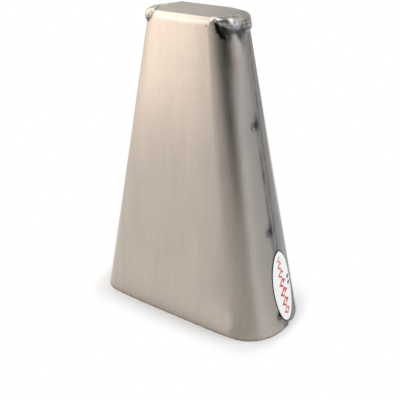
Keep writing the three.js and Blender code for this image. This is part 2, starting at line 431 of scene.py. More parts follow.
def strip_rows():
    """Rows of the middle strip of the blank: up the front, over the crown, down the back."""
    half = []
    for z in HEIGHTS[:-1]:
        _, flat_half, half_depth, _ = outline_at(z)
        half.append((flat_half, -half_depth, z, SHEET - half_depth, z))
    for j in range(FOLD_ROWS + 1):
        bend = QUARTER_TURN * j / FOLD_ROWS
        z = FOLD_START + FOLD_RADIUS * math.sin(bend)
        _, flat_half, half_depth, _ = outline_at(z)
        turned = 1 - math.cos(bend)
        inner_z = FOLD_START + INNER_FOLD_RADIUS * math.sin(bend)
        y = FOLD_RADIUS * turned - half_depth
        half.append((flat_half, y, z, SHEET + INNER_FOLD_RADIUS * turned - half_depth, inner_z))
    flat_half, y, z, _, inner_z = half[-1]
    crown = []
    for j in range(1, CROWN_ROWS):
        here = mix(y, -y, j / CROWN_ROWS)
        crown.append((flat_half, here, z, here, inner_z))
    other = [(width, -y, z, -inner_y, inner_z) for width, y, z, inner_y, inner_z in reversed(half)]
    return half + crown + other


STRIP_ROWS = strip_rows()


def row_corner(row, x):
    """Corner of the strip or of an ear, at a distance from the bell's middle."""
    _, y, z, inner_y, inner_z = row
    outer = Vector((x, y, z))
    forward = math.copysign(1, y) * (sheet_wave(outer) - corner_ease(abs(x) - outline_at(z)[1], z))
    dip = crown_sag(x, y) * max(0.0, z - FOLD_START) / FOLD_RADIUS
    shift = Vector((0, forward, -dip))
    return outer + shift, Vector((x, inner_y, inner_z)) + shift


def ear_edge(side):
    """Edge of a crown ear as (distance behind the middle, distance aside), which ends under the bead."""
    edge = []
    for step in range(-EAR_STEPS, EAR_STEPS + 1):
        angle = QUARTER_TURN * step / EAR_STEPS
        share = smoothstep((QUARTER_TURN - abs(angle)) / EAR_BLEND)
        inset = max(0.0, end_form(side, angle)[0] - EAR_COVER) * math.cos(angle) * share
        point = side_point(side, angle, BELL_HEIGHT, inset)
        edge.append((point.y, abs(point.x)))
    return edge


EAR_EDGES = {side: ear_edge(side) for side in SIDES.values()}


def ear_corner(side, row, share):
    """Corner of a crown ear."""
    edge = max(row[0], read_off(row[1], EAR_EDGES[side]))
    return row_corner(row, side * mix(row[0], edge, share))


def flange_corner(side, angle_for, row, inset, pressed):
    """Corner of a flange, which ends under the crown, its folds and the melted ends.

    Near a spot weld its skins are pressed in by the given depths.
    """
    angle = angle_for(BELL_HEIGHT)
    roof = crown_height(side_point(side, angle, BELL_HEIGHT, 0)) - FLANGE_GAP
    covered = end_form(side, angle)[3] + FLANGE_COVER
    top = mix(FOLD_START, min(roof, covered), smoothstep((QUARTER_TURN - abs(angle)) / FLANGE_BLEND))
    z = top * HEIGHTS[row] / FOLD_START
    angle = angle_for(z)
    nominal = side_point(side, angle, z, 0)
    inset -= sheet_wave(nominal)
    share = spot_dish(side, nominal)
    outer = side_point(side, angle, z, inset + pressed[0] * share)
    inner = side_point(side, angle, z, inset + SHEET + pressed[1] * share)
    return outer, inner


def front_flange_corner(side, column, row):
    """Corner of the front flange, which runs from the front face to the seam."""
    if column == 0:
        return row_corner(STRIP_ROWS[row], side * STRIP_ROWS[row][0])
    into_band = max(0.0, (column - FRONT_COLUMNS) / BAND_COLUMNS)

    def angle_for(z):
        if column < FRONT_COLUMNS:
            return mix(-QUARTER_TURN, angle_at(seam_at(z) - BAND_WIDTH, z), column / FRONT_COLUMNS)
        return angle_at(seam_at(z) - BAND_WIDTH * (1 - into_band) + seam_edge(side, z) * into_band, z)

    return flange_corner(side, angle_for, row, 0.0, (SPOT_DISH_DEPTH, LAP_GAP))


def back_flange_corner(side, column, row):
    """Corner of the back flange, which tucks in and ends under the front flange."""
    if column == 0:
        return row_corner(STRIP_ROWS[-1 - row], side * STRIP_ROWS[-1 - row][0])
    tucked = (column - BACK_COLUMNS) / TUCK_COLUMNS
    lapped = (column - BACK_COLUMNS - TUCK_COLUMNS) / TUCKED_COLUMNS
    if tucked <= 1:
        behind = mix(TUCK_CLEARANCE + TUCK_LENGTH, TUCK_CLEARANCE, tucked)
    else:
        behind = mix(TUCK_CLEARANCE, -LAP_LENGTH, lapped)

    def angle_for(z):
        if tucked < 0:
            start = angle_at(seam_at(z) + TUCK_CLEARANCE + TUCK_LENGTH, z)
            return mix(QUARTER_TURN, start, column / BACK_COLUMNS)
        return angle_at(seam_at(z) + behind, z)

    inset = 0.0 if tucked < 0 else tuck_inset(behind)
    return flange_corner(side, angle_for, row, inset, (LAP_GAP / 2, -LAP_GAP))


def body_mesh():
    """The folded blank, with dishes where the spot welds sit."""
    sheet = Sheet()

    def strip_corner(i, j):
        flat_half = STRIP_ROWS[j][0]
        return row_corner(STRIP_ROWS[j], mix(-flat_half, flat_half, i / FACE_COLUMNS))

    sheet.block(FACE_COLUMNS, len(STRIP_ROWS) - 1, strip_corner)
    for side in SIDES.values():
        turned = side == LEFT

        def ear(i, j):
            return ear_corner(side, STRIP_ROWS[ROWS + j], i / EAR_COLUMNS)

        def front(i, j):
            return front_flange_corner(side, i, j)

        def back(i, j):
            return back_flange_corner(side, i, j)

        sheet.block(EAR_COLUMNS, 2 * FOLD_ROWS + CROWN_ROWS, ear, turned)
        sheet.block(FRONT_COLUMNS + BAND_COLUMNS, ROWS, front, turned)
        sheet.block(BACK_COLUMNS + TUCK_COLUMNS + TUCKED_COLUMNS, ROWS, back, not turned)
    return sheet.mesh("bell_body")


# Weld beads. Each lump has an angle in degrees, a height and a radius in millimetres and a rise
LUMPS = {
    RIGHT: [
        (-67, 219.0, 2.2, 0.9), (-59, 217.8, 1.6, 0.4), (-50, 216.6, 2.2, 0.4), (-49, 212.6, 0.9, 0.3),
        (-26, 214.8, 2.2, 1.5), (-16, 214.2, 2.2, 1.1), (-20, 212.1, 2.0, 0.35), (-20, 212.1, 0.9, -0.8),
        (22, 211.4, 1.3, 0.35), (64, 214.0, 2.6, 0.3),
    ],
    LEFT: [
        (-66, 216.6, 2.6, 0.3), (-40, 217.0, 3.2, 0.3), (-15, 216.0, 2.6, 0.3), (28, 214.5, 2.8, 0.4),
        (52, 213.0, 2.2, 0.3),
    ],
}
LUMP_LIFT = 1 * MM
WELD_SPREAD = 1.7
WELD_GAIN = 1.6

# Painted shade in the crease round a bead, by angle in degrees
CREASE_SHADES = {
    RIGHT: [(-90, 0.3), (-66, 0.45), (-40, 0.15), (0, 0.1), (60, 0.3), (90, 0.2)],
    LEFT: [(-90, 0.9), (-60, 0.95), (-40, 0.8), (-10, 0.4), (30, 0.2), (90, 0.2)],
}
CREASE_SHADE_WIDTH = 0.8 * MM
RIPPLE_ANGLE = 24.0
RIPPLE_SPREAD = 18.0
RIPPLE_PITCH = 2.3 * MM
RIPPLE_DEPTH = 0.50 * MM
BEAD_SINK = 0.12 * MM
BEAD_LIP = 1.6 * MM
BEAD_FOOT = 4.2 * MM
BEAD_HEM = 0.5 * MM
BEAD_END = 88.0
BEAD_TAIL = 6.0
BEAD_COLUMNS = 220
GRAIN_DEPTH = 0.08 * MM
GRAIN_LENGTH = 2.2 * MM
GRAIN_START = 0.4 * MM
TOP_STEPS = 14
ROUND_STEPS = 14
SIDE_STEPS = 14

# Hidden back of a bead: insets and rises at its foot, then drops under the rounding and under the crown
BACK_FOOT = (0.5 * SHEET, 0.4 * MM)
BACK_WAIST = (1.1 * SHEET, 0.8 * MM)
BACK_DROPS = (1.2 * SHEET, 0.7 * SHEET)


def bead_section(side, angle):
    """Section of a melted end as (inset, height, facing up), the length up to each point, and its back."""
    reach, across, down, low, _, _ = end_form(side, angle)

    def top_at(inset):
        return crown_height(side_point(side, angle, BELL_HEIGHT, inset))

    low = min(low, top_at(0) - down - BEAD_HEM)
    shown = []
    for k in range(TOP_STEPS):
        inset = mix(reach, across, k / TOP_STEPS)
        shown.append((inset, top_at(inset), 1.0))
    start = top_at(across)
    end = max(top_at(0) - down, low + BEAD_LIP / 2)
    for k in range(ROUND_STEPS):
        turn = QUARTER_TURN * k / ROUND_STEPS
        shown.append((across * (1 - math.sin(turn)), mix(start, end, 1 - math.cos(turn)), math.cos(turn)))
    for k in range(SIDE_STEPS + 1):
        shown.append((0.0, mix(end, low, k / SIDE_STEPS), 0.0))
    lengths = [0.0]
    for (inset, z, _), (next_inset, next_z, _) in zip(shown, shown[1:]):
        lengths.append(lengths[-1] + math.hypot(next_inset - inset, next_z - z))
    back = [
        (BACK_FOOT[0], low + BACK_FOOT[1]),
        (BACK_WAIST[0], max(low + BACK_WAIST[1], (low + end) / 2)),
        (across + SHEET, start - BACK_DROPS[0]),
        (reach, top_at(reach) - BACK_DROPS[1]),
    ]
    return shown, lengths, back


def bead_mesh(name, side):
    """Weld bead that has melted over the end of the crown."""
    points = []
    weld = []
    crease_shade = []
    lumps = []
    for degrees, z, radius, rise in LUMPS[side]:
        lumps.append((side_point(side, degrees * DEG, z * MM, -LUMP_LIFT), radius * MM, rise * MM))
    for i in range(BEAD_COLUMNS + 1):
        angle = mix(-QUARTER_TURN, QUARTER_TURN, i / BEAD_COLUMNS)
        degrees = angle / DEG
        _, _, _, _, bulge, dome = end_form(side, angle)
        tail = smoothstep((BEAD_END - abs(degrees)) / BEAD_TAIL)
        ripple = RIPPLE_DEPTH * hump(degrees - RIPPLE_ANGLE, RIPPLE_SPREAD)
        shown, lengths, back = bead_section(side, angle)
        for (inset, z, facing), length in zip(shown, lengths):
            nominal = side_point(side, angle, z, inset)
            left_over = lengths[-1] - length
            lip = smoothstep(length / BEAD_LIP) * smoothstep(left_over / BEAD_FOOT)
            grow = mix(bulge, dome, facing)
            metal = 0.0
            for centre, radius, rise in lumps:
                near = (nominal - centre).length_squared / radius ** 2
                grow += rise * math.exp(-near)
                metal += max(0.0, rise / MM) * math.exp(-near / WELD_SPREAD)
            grow += ripple * (1 - facing) * math.sin(FULL_TURN * z / RIPPLE_PITCH + 2 * angle)
            grain = noise.fractal(nominal / GRAIN_LENGTH, 1.0, 2.0, 3)
            grow += GRAIN_DEPTH * grain * min(1.0, grow / GRAIN_START)
            amount = grow * lip * tail - BEAD_SINK
            aside = math.sqrt(1 - facing * facing)
            points.append(side_point(side, angle, z + amount * facing, inset - amount * aside))
            weld.append(min(1.0, WELD_GAIN * metal) * lip * tail)
            # Painted shade in the creases at the bead's edges
            crease_shade.append(hump(min(length, left_over), CREASE_SHADE_WIDTH) * read_off(degrees, CREASE_SHADES[side]))
        for inset, z in back:
            points.append(side_point(side, angle, z, inset))
            weld.append(1.0)
            crease_shade.append(0.0)
    ring = len(points) // (BEAD_COLUMNS + 1)
    caps = [tuple(range(ring))[::-1], tuple(BEAD_COLUMNS * ring + k for k in range(ring))]
    mesh = new_mesh(name, points, grid_faces(BEAD_COLUMNS, ring, True) + caps)
    add_mask(mesh, "weld", weld)
    add_mask(mesh, "crease_shade", crease_shade)
    merge_close(mesh)
    return mesh


# Tacks at the mouth end of the seams: a roughened ball, squashed along the side's directions
TACK_HEIGHT = 2.4 * MM
TACK_LIFT = 0.3 * MM
TACK_BEHIND = 1.62 * MM
TACK_SINK = 0.55 * LAP_INSET
TACK_RADII = (1.98 * MM, TACK_HEIGHT / 2, 1.275 * MM)
TACK_ROUGHNESS = 0.25
TACK_BUMPS = 2.2
TACK_SEED = 3.7
TACK_SOOT = 0.45
TACK_RINGS = 14
TACK_SIDES = 22


def tack_mesh(name, side):
    """Tack that fills the step behind the front flange's edge at the mouth."""
    z = TACK_LIFT + TACK_HEIGHT / 2
    angle = angle_at(seam_at(z) + TACK_BEHIND, z)
    middle = side_point(side, angle, z, TACK_SINK)
    axes = surface_axes(side, angle, z)
    points = []
    for i in range(TACK_RINGS + 1):
        polar = math.pi * i / TACK_RINGS
        for j in range(TACK_SIDES):
            turn = FULL_TURN * j / TACK_SIDES
            flat = math.sin(polar)
            unit = Vector((flat * math.cos(turn), flat * math.sin(turn), math.cos(polar)))
            bump = noise.noise(unit * TACK_BUMPS + Vector((TACK_SEED * side, 0, 0)))
            point = middle.copy()
            for axis, value, radius in zip(axes, unit, TACK_RADII):
                point += axis * value * radius * (1 + TACK_ROUGHNESS * bump)
            points.append(point)
    mesh = new_mesh(name, points, grid_faces(TACK_RINGS, TACK_SIDES, True))
    merge_close(mesh)
    add_mask(mesh, "soot_and_shade", [TACK_SOOT] * len(mesh.vertices))
    add_mask(mesh, "weld", [1.0] * len(mesh.vertices))
    return mesh


# Caps of the spot welds, each with a raised ring near its edge, at a share of its radius. Each skin has the
# direction that it faces and its depth at the bowl's floor and edge
CAP_RINGS = 16
CAP_SIDES = 40
CAP_LIFT = 0.07 * MM
CAP_SINK = 0.1 * MM
CAP_TAPER = 0.16
CAP_WANDER = 0.04 * MM
CAP_RING_LIFT = 0.07 * MM
CAP_RING_PLACE = 0.86
CAP_RING_WIDTH = 0.09
CAP_SKINS = [(1, SPOT_DISH_DEPTH, 0.0), (-1, LAP_INSET + SHEET - LAP_GAP, LAP_INSET + SHEET)]


def spot_mesh(name, side, middle, seed):
    """Both ends of a spot weld: thin caps in the bowls that the electrodes pressed."""
    around, upward, out = surface_axes(side, angle_at(middle.y, middle.z), middle.z)

    def cap_point(share, turn, facing, floor_inset, edge_inset, lifted):
        aside = math.cos(turn)
        above = math.sin(turn)
        inset = mix(floor_inset, edge_inset, smoothstep(SPOT_RADIUS * share / SPOT_DISH_RADIUS))
        ring = CAP_RING_LIFT * hump(share - CAP_RING_PLACE, CAP_RING_WIDTH)
        bump = CAP_WANDER * noise.noise(Vector((2 * aside, 2 * above, 3 * share + seed)))
        rise = (CAP_LIFT + ring + bump) * smoothstep((1 - share) / CAP_TAPER) if lifted else -CAP_SINK
        place = middle + (around * aside + upward * above) * SPOT_RADIUS * share
        place = side_point(side, angle_at(place.y, place.z), place.z, inset - sheet_wave(place))
        return place + out * facing * rise

    points = []
    faces = []
    for skin in CAP_SKINS:
        for lifted in (True, False):
            faces += grid_faces(CAP_RINGS, CAP_SIDES, True, len(points))
            for i in range(CAP_RINGS + 1):
                for j in range(CAP_SIDES):
                    points.append(cap_point(i / CAP_RINGS, FULL_TURN * j / CAP_SIDES, *skin, lifted))
        under = len(points) - CAP_SIDES
        rim = under - (CAP_RINGS + 1) * CAP_SIDES
        for j in range(CAP_SIDES):
            following = (j + 1) % CAP_SIDES
            faces.append((rim + j, rim + following, under + following, under + j))
    mesh = new_mesh(name, points, faces)
    merge_close(mesh)
    return mesh


# Oval label
LABEL_LENGTH = 58 * MM
LABEL_WIDTH = 24.8 * MM
LABEL_THICKNESS = 0.3 * MM
LABEL_GAP = 0.12 * MM
LABEL_TACK_GAP = 0.4 * MM
LABEL_OFFSET = 1.25 * MM
LABEL_LEAN = -1.3 * DEG
LABEL_SAG_SHARE = 0.75
LABEL_SAG_LENGTH = 3.0 * MM
LABEL_SAG_LOW = 8 * MM
LABEL_SAG_RISE = 14 * MM
LABEL_EDGE_SHARE = 0.04
LABEL_EDGE_LOSS = 0.5
LABEL_RINGS = 20
LABEL_SIDES = 96
LABEL_SLOPE = math.atan2((MOUTH_WIDTH - CROWN_WIDTH) / 2, BELL_HEIGHT)
LABEL_MIDDLE = TACK_LIFT + TACK_HEIGHT + LABEL_TACK_GAP + LABEL_LENGTH / 2 * math.cos(LABEL_SLOPE)


def label_mesh():
    """Thin oval label, wrapped round the right side over the seam, with its place as its UV."""
    sheet = Sheet()
    places = {}

    def label_corner(i, j):
        turn = FULL_TURN * j / LABEL_SIDES
        share = i / LABEL_RINGS
        aside = math.cos(turn) * share
        above = math.sin(turn) * share
        across = LABEL_WIDTH / 2 * aside
        along = LABEL_LENGTH / 2 * above
        x = across * math.cos(LABEL_LEAN) + along * math.sin(LABEL_LEAN)
        up = along * math.cos(LABEL_LEAN) - across * math.sin(LABEL_LEAN)
        z = LABEL_MIDDLE + up * math.cos(LABEL_SLOPE)
        half_depth = outline_at(z)[2]
        y = half_depth * math.sin((LABEL_OFFSET + x) / half_depth)
        angle = angle_at(y, z)
        behind = y - seam_at(z) - seam_edge(RIGHT, z)
        sag = LABEL_SAG_SHARE * tuck_inset(behind) * smoothstep(behind / LABEL_SAG_LENGTH)
        sag *= smoothstep((z - LABEL_SAG_LOW) / LABEL_SAG_RISE)
        inset = sag - LABEL_GAP - sheet_wave(side_point(RIGHT, angle, z, 0))
        loss = LABEL_EDGE_LOSS * smoothstep(1 - (1 - share) / LABEL_EDGE_SHARE)
        outer = side_point(RIGHT, angle, z, inset - LABEL_THICKNESS * (1 - loss))
        inner = side_point(RIGHT, angle, z, inset)
        places[sheet.corner(outer, inner)] = ((1 + aside) / 2, (1 + above) / 2)
        return outer, inner

    sheet.block(LABEL_RINGS, LABEL_SIDES, label_corner)
    mesh = sheet.mesh("label")
    uv = mesh.uv_layers.new(name="print")
    for loop in mesh.loops:
        uv.data[loop.index].uv = places[loop.vertex_index // 2]
    return mesh


# Stains and painted shade on the steel. Each place has an angle in degrees, a height and a radius in
# millimetres and a weight
# Soot, with painted shadow under the right bead's lip and along the left ear's inner edge
SOOT_AND_SHADE_PLACES = {
    RIGHT: [
        (-63, 217.8, 1.2, 0.40), (-66, 216.0, 1.4, 0.40), (-60, 216.2, 1.5, 0.50), (-58, 214.4, 1.9, 0.70),
        (-65, 213.6, 1.4, 0.35), (-54, 212.0, 1.6, 0.50), (-60, 212.0, 1.5, 0.50), (-51, 210.4, 1.8, 0.65),
        (-56, 209.6, 1.4, 0.40), (-46, 209.0, 1.7, 0.55), (-50, 208.0, 1.5, 0.40), (-42, 207.6, 1.4, 0.35),
    ],
    LEFT: [
        (-83, 217.2, 1.1, 0.45), (-78, 215.4, 1.3, 0.50), (-71, 213.8, 1.6, 0.60), (-62, 212.4, 1.4, 0.45),
        (40, 210.0, 2.4, 0.40),
    ],
}
# Heat burns, with painted shade: darker down the right side under the bead, and over the bead's bright edge
BURN_AND_SHADE_PLACES = {
    RIGHT: [
        (-56, 219.6, 1.8, 0.80), (-46, 219.6, 2.1, 0.90), (-36, 219.6, 2.1, 0.90), (-27, 219.6, 1.9, 0.75),
        (-17, 219.6, 2.2, 0.60), (-8, 218.8, 2.6, 0.40), (6, 218.0, 3.0, 0.45), (20, 217.0, 2.8, 0.50),
        (28, 215.0, 2.4, 0.40), (12, 214.0, 2.6, 0.55), (-2, 213.6, 2.4, 0.35), (-50, 215.8, 2.0, 0.35),
        (-46, 214.4, 2.0, 0.75), (-36, 213.4, 2.0, 0.65), (-52, 211.5, 3.0, 0.45), (-38, 211.0, 3.0, 0.75),
        (-28, 212.0, 2.4, 0.75), (-19, 211.4, 2.4, 0.75), (-10, 211.8, 2.8, 0.75), (-7, 209.0, 2.6, 0.50),
        (4, 210.0, 3.0, 0.75), (16, 211.0, 2.8, 0.45), (28, 209.0, 3.0, 0.45), (38, 207.5, 2.5, 0.35),
        (-33, 207.5, 1.8, 0.50), (-12, 207.6, 2.4, 0.40), (-5, 205.6, 3.2, 0.55), (8, 202.0, 4.5, 0.34),
        (-4, 199.0, 4.0, 0.28), (-4, 192.0, 4.5, 0.20), (-2, 185.0, 4.5, 0.12), (-45, 206.0, 3.0, 0.50),
        (-43, 200.0, 4.5, 0.50), (-42, 192.0, 5.0, 0.42), (-42, 183.0, 5.0, 0.28),
    ],
    LEFT: [
        (-66, 214.4, 2.4, 0.60), (-58, 218.6, 2.6, 0.50), (-42, 219.2, 3.0, 0.60), (-25, 217.5, 3.0, 0.50),
        (-48, 214.6, 2.6, 0.35), (-35, 209.0, 3.0, 0.50), (-30, 204.0, 3.5, 0.45), (-30, 198.0, 3.5, 0.30),
        (-20, 208.0, 4.0, 0.45), (10, 208.5, 4.0, 0.60), (45, 208.0, 4.0, 0.50),
    ],
}
BLUSH_PLACES = {
    RIGHT: [(-30, 192.5, 4.2, 0.85), (-44, 203.0, 4.0, 0.30)],
    LEFT: [(-28, 200.0, 5.0, 0.40)],
}
SPOT_BLUSH = 0.25
SPOT_HALO = 6.0 * MM
# Painted shade along the bottom edge, where the bell stands on the floor
RIM_CONTACT_SHADE = 0.46
RIM_SHADE_LOW = 0.5 * MM
RIM_SHADE_RISE = 2.2 * MM
DULL_START = -8 * MM
DULL_LENGTH = 40 * MM

# Dirt in the seams, painted shade in the step behind: means and swings of what varies up the seam, each with
# its length
SEAM_STRENGTH = 0.85
SEAM_STRENGTH_SWING = 0.4
SEAM_STRENGTH_LENGTH = 9 * MM
SEAM_LINE_WIDTH = 1.25 * MM
SEAM_LINE_SWING = 0.8
SEAM_LINE_LENGTH = 5 * MM
SEAM_STEP_SHADE = 0.72
SEAM_STEP_SHADE_START = 2.4 * MM
SEAM_STEP_SHADE_LENGTH = 2.8 * MM

# Painted shade in front of the seams, for a crease: strengths of its band above and below, and of the sheet
# beside it
FLANGE_SHADE_OFFSET = 4.2 * MM
FLANGE_SHADE_WIDTH = 2.3 * MM
FLANGE_SHADE_SHARES = (0.26, 0.56)
FLANGE_SHADE_NEAR = (0.24, 0.38)
FLANGE_SHADE_TOP = 148 * MM
FLANGE_SHADE_FADE = 22 * MM
FLANGE_SHADE_SWING = 0.9
FLANGE_SHADE_SWING_LENGTH = 11 * MM

# Burns, with painted shade by the spot welds: distance behind and above in millimetres and weight, and the
# tack's radius
SPOT_BURN_SHADES = {"upper": (3.4, 1.6, 0.86), "middle": (2.0, 0.4, 0.58), "lower": (0.6, -1.0, 0.62)}
SPOT_BURN_SHADE_RADIUS = 3.4 * MM
SPOT_BURN_SHADE_STRETCH = 0.6
TACK_BURN_BEHIND = -1.6 * MM
TACK_BURN_ABOVE = 2.0 * MM
TACK_BURN_RADIUS = 1.7 * MM


def side_of(point):
    return RIGHT if point.x > 0 else LEFT


def marks_at(point, places):
    total = 0.0
    for degrees, z, radius, weight in places[side_of(point)]:
        centre = side_point(side_of(point), degrees * DEG, z * MM, 0)
        total += weight * hump((point - centre).length, radius * MM)
    return min(1.0, total)


def soot_and_shade_at(point):
    return marks_at(point, SOOT_AND_SHADE_PLACES)


def burn_and_shade_at(point):
    # Painted contact shade along the bottom edge
    rim = RIM_CONTACT_SHADE * (1 - smoothstep((point.z - RIM_SHADE_LOW) / RIM_SHADE_RISE))
    return max(rim, marks_at(point, BURN_AND_SHADE_PLACES))


def blush_at(point):
    total = marks_at(point, BLUSH_PLACES)
    for _, middle in SPOTS[side_of(point)]:
        total += SPOT_BLUSH * hump((point - middle).length, SPOT_HALO)
    return min(1.0, total)


def dull_at(point):
    """Greying of the crown towards its right end."""
    aside = smoothstep((point.x - DULL_START) / DULL_LENGTH)
    return aside * smoothstep((point.z - FOLD_START) / FOLD_RADIUS)


def seam_at_point(point):
    """Seam dirt, painted shade behind it and in a band before it, and burns with painted shade at the welds.
    """
    if point.z > FOLD_START or abs(point.x) < outline_at(point.z)[1]:
        return 0.0
    side = side_of(point)
    behind = point.y - seam_at(point.z) - seam_edge(side, point.z)
    strength = SEAM_STRENGTH + SEAM_STRENGTH_SWING * wander(5 * side, point.z, SEAM_STRENGTH_LENGTH)
    width = SEAM_LINE_WIDTH * (1 + SEAM_LINE_SWING * wander(side, point.z, SEAM_LINE_LENGTH))
    mark = strength * hump(behind, width)
    # Painted shade in the step behind the front flange's edge
    if behind > 0:
        beyond = max(0.0, behind - SEAM_STEP_SHADE_START)
        mark = max(mark, SEAM_STEP_SHADE * math.exp(-beyond / SEAM_STEP_SHADE_LENGTH))
    # Painted shade in a band in front of the seam, standing for a crease in the sheet
    low = smoothstep((FLANGE_SHADE_TOP - point.z) / FLANGE_SHADE_FADE)
    patchy = 1 + FLANGE_SHADE_SWING * wander(3 * side, point.z, FLANGE_SHADE_SWING_LENGTH)
    flange_shade = mix(*FLANGE_SHADE_SHARES, low) * patchy * hump(behind + FLANGE_SHADE_OFFSET, FLANGE_SHADE_WIDTH)
    if behind <= 0:
        flange_shade = max(flange_shade, mix(*FLANGE_SHADE_NEAR, low) * smoothstep((behind + 2 * FLANGE_SHADE_OFFSET) / FLANGE_SHADE_OFFSET))
    # Burns with painted shade on one side of each spot weld's dish
    burn_and_shade = 0.0
    for level, middle in SPOTS[side]:
        behind_it, above_it, weight = SPOT_BURN_SHADES[level]
        away = point - middle - Vector((0, behind_it, above_it)) * MM
        away.z *= SPOT_BURN_SHADE_STRETCH
        burn_and_shade = max(burn_and_shade, weight * hump(away.length, SPOT_BURN_SHADE_RADIUS))
    tack = hump(behind - TACK_BURN_BEHIND, TACK_BURN_RADIUS)
    tack *= hump(point.z - TACK_BURN_ABOVE, 2 * TACK_BURN_RADIUS)
    return min(1.0, max(mark, flange_shade + burn_and_shade, tack))


MASKS = {"soot_and_shade": soot_and_shade_at, "burn_and_shade_tint": burn_and_shade_at, "blush": blush_at, "seam": seam_at_point, "dull": dull_at}


def add_mask(mesh, name, values):
    attribute = mesh.attributes.new(name, "FLOAT", "POINT")
    attribute.data.foreach_set("value", np.array(values, dtype=np.float32))


def write_masks(piece, *names):
    """Writes the named masks on a piece, one value for each vertex."""
    for name in names:
        add_mask(piece.data, name, [MASKS[name](vertex.co) for vertex in piece.data.vertices])


# Node trees
class Tree:
    """Node tree of a material or a world, with short calls for its nodes."""

    def __init__(self, owner):
        owner.use_nodes = True
        self.nodes = owner.node_tree.nodes
        self.links = owner.node_tree.links

    def feed(self, socket, value):
        if isinstance(value, bpy.types.NodeSocket):
            self.links.new(value, socket)
        elif socket.type == "RGBA":
            socket.default_value = (*value, 1)
        else:
            socket.default_value = value

    def add(self, kind, inputs=(), **settings):
        node = self.nodes.new(kind)
        for name, value in settings.items():
            setattr(node, name, value)
        for place, value in dict(inputs).items():
            self.feed(node.inputs[place], value)
        return node

    def math(self, operation, *values, clamp=False):
        node = self.add("ShaderNodeMath", enumerate(values), operation=operation, use_clamp=clamp)
        return node.outputs[0]

    def times(self, *values, clamp=False):
        return self.math("MULTIPLY", *values, clamp=clamp)

    def vector(self, operation, *values, output="Vector"):
        return self.add("ShaderNodeVectorMath", enumerate(values), operation=operation).outputs[output]

    def spread(self, value, low, high, to_low=0.0, to_high=1.0, curve="LINEAR"):
        ends = {"Value": value, "From Min": low, "From Max": high, "To Min": to_low, "To Max": to_high}
        return self.add("ShaderNodeMapRange", ends, clamp=True, interpolation_type=curve).outputs["Result"]

    def place(self):
        return self.add("ShaderNodeTexCoord").outputs["Object"]

    def noise(self, scale, detail=3.0, roughness=0.55):
        place = self.add("ShaderNodeMapping", {"Vector": self.place(), "Scale": scale}).outputs["Vector"]
        inputs = {"Vector": place, "Scale": 1.0, "Detail": detail, "Roughness": roughness}
        return self.add("ShaderNodeTexNoise", inputs).outputs["Fac"]

    def attribute(self, name):
        return self.add("ShaderNodeAttribute", attribute_name=name).outputs["Fac"]

    def ramp(self, value, stops):
        node = self.add("ShaderNodeValToRGB", {"Fac": value})
        elements = node.color_ramp.elements
        for element, (position, colour) in zip((elements[0], elements[-1]), (stops[0], stops[-1])):
            element.position = position
            element.color = (*colour, 1)
        for position, colour in stops[1:-1]:
            elements.new(position).color = (*colour, 1)
        return node.outputs["Color"]

    def blend(self, factor, first, second, kind="MIX"):
        parts = {0: factor, 6: first, 7: second}
        return self.add("ShaderNodeMix", parts, data_type="RGBA", blend_type=kind).outputs[2]

    def mix_values(self, factor, first, second):
        return self.add("ShaderNodeMix", {0: factor, 2: first, 3: second}, data_type="FLOAT").outputs[0]

    def weigh(self, *parts):
        total = self.times(*parts[0])
        for part in parts[1:]:
            total = self.math("ADD", total, self.times(*part))
        return total

    def split(self, vector):
        return self.add("ShaderNodeSeparateXYZ", {"Vector": vector}).outputs

    def facing_up(self):
        return self.split(self.add("ShaderNodeNewGeometry").outputs["Normal"])["Z"]

    def bump(self, height, distance, strength, normal=None):
        inputs = {"Distance": distance, "Strength": strength, "Height": height}
        if normal is not None:
            inputs["Normal"] = normal
        return self.add("ShaderNodeBump", inputs).outputs["Normal"]

    def light_path(self, ray):
        return self.add("ShaderNodeLightPath").outputs[ray]

    def sees_background(self):
        """1 for rays from the camera, from a gloss and through glass."""
        seen = self.light_path("Is Camera Ray")
        for ray in ("Is Glossy Ray", "Is Transmission Ray"):
            seen = self.math("ADD", seen, self.light_path(ray), clamp=True)
        return seen


class Shader(Tree):
    """Material with a principled shader."""

    def __init__(self, name):
        self.material = bpy.data.materials.new(name)
        super().__init__(self.material)
        self.bsdf = self.nodes["Principled BSDF"]

    def set(self, **values):
        for name, value in values.items():
            self.feed(self.bsdf.inputs[name.replace("_", " ")], value)

    def show(self, shader):
        """Shows another shader node instead of the principled one."""
        self.nodes.remove(self.bsdf)
        self.links.new(shader.outputs[0], self.nodes["Material Output"].inputs["Surface"])


# Steel
NOISE_BAND = (0.3, 0.7)
STEEL_LIGHT = (0.530, 0.464, 0.400)
STEEL_DARK = (0.466, 0.408, 0.352)
# Painted shade: the crown's up-facing top is made darker and bluer
CROWN_TOP_SHADE = (0.70, 0.757, 0.795)
CROWN_TOP_SHADE_BAND = (0.93, 0.99)
LEVEL_BAND = (0.75, 0.95)
DULL_SHARE = 0.24
STREAK_FINE = 1500.0
STREAK_LONG = 14.0
BAND_FINE = 190.0
BAND_LONG = 5.0
BLOTCH_SCALE = (30, 30, 22)
SPECK_SCALE = (420, 420, 300)
SMUDGE_SCALE = (130, 130, 90)
FLAKE_SCALE = (900, 900, 900)
CLOUD_SCALE = (230, 230, 230)
BLOTCH_WEIGHT = 0.3
STREAK_WEIGHT = 0.2
BAND_WEIGHT = 0.3
SPECK_WEIGHT = 0.2
TONE_BAND = (0.38, 0.62)
STREAK_ROUGHNESS = (-0.03, 0.03)
SMUDGE_ROUGHNESS = (0.29, 0.35)
STREAK_DEPTH = 0.004 * MM

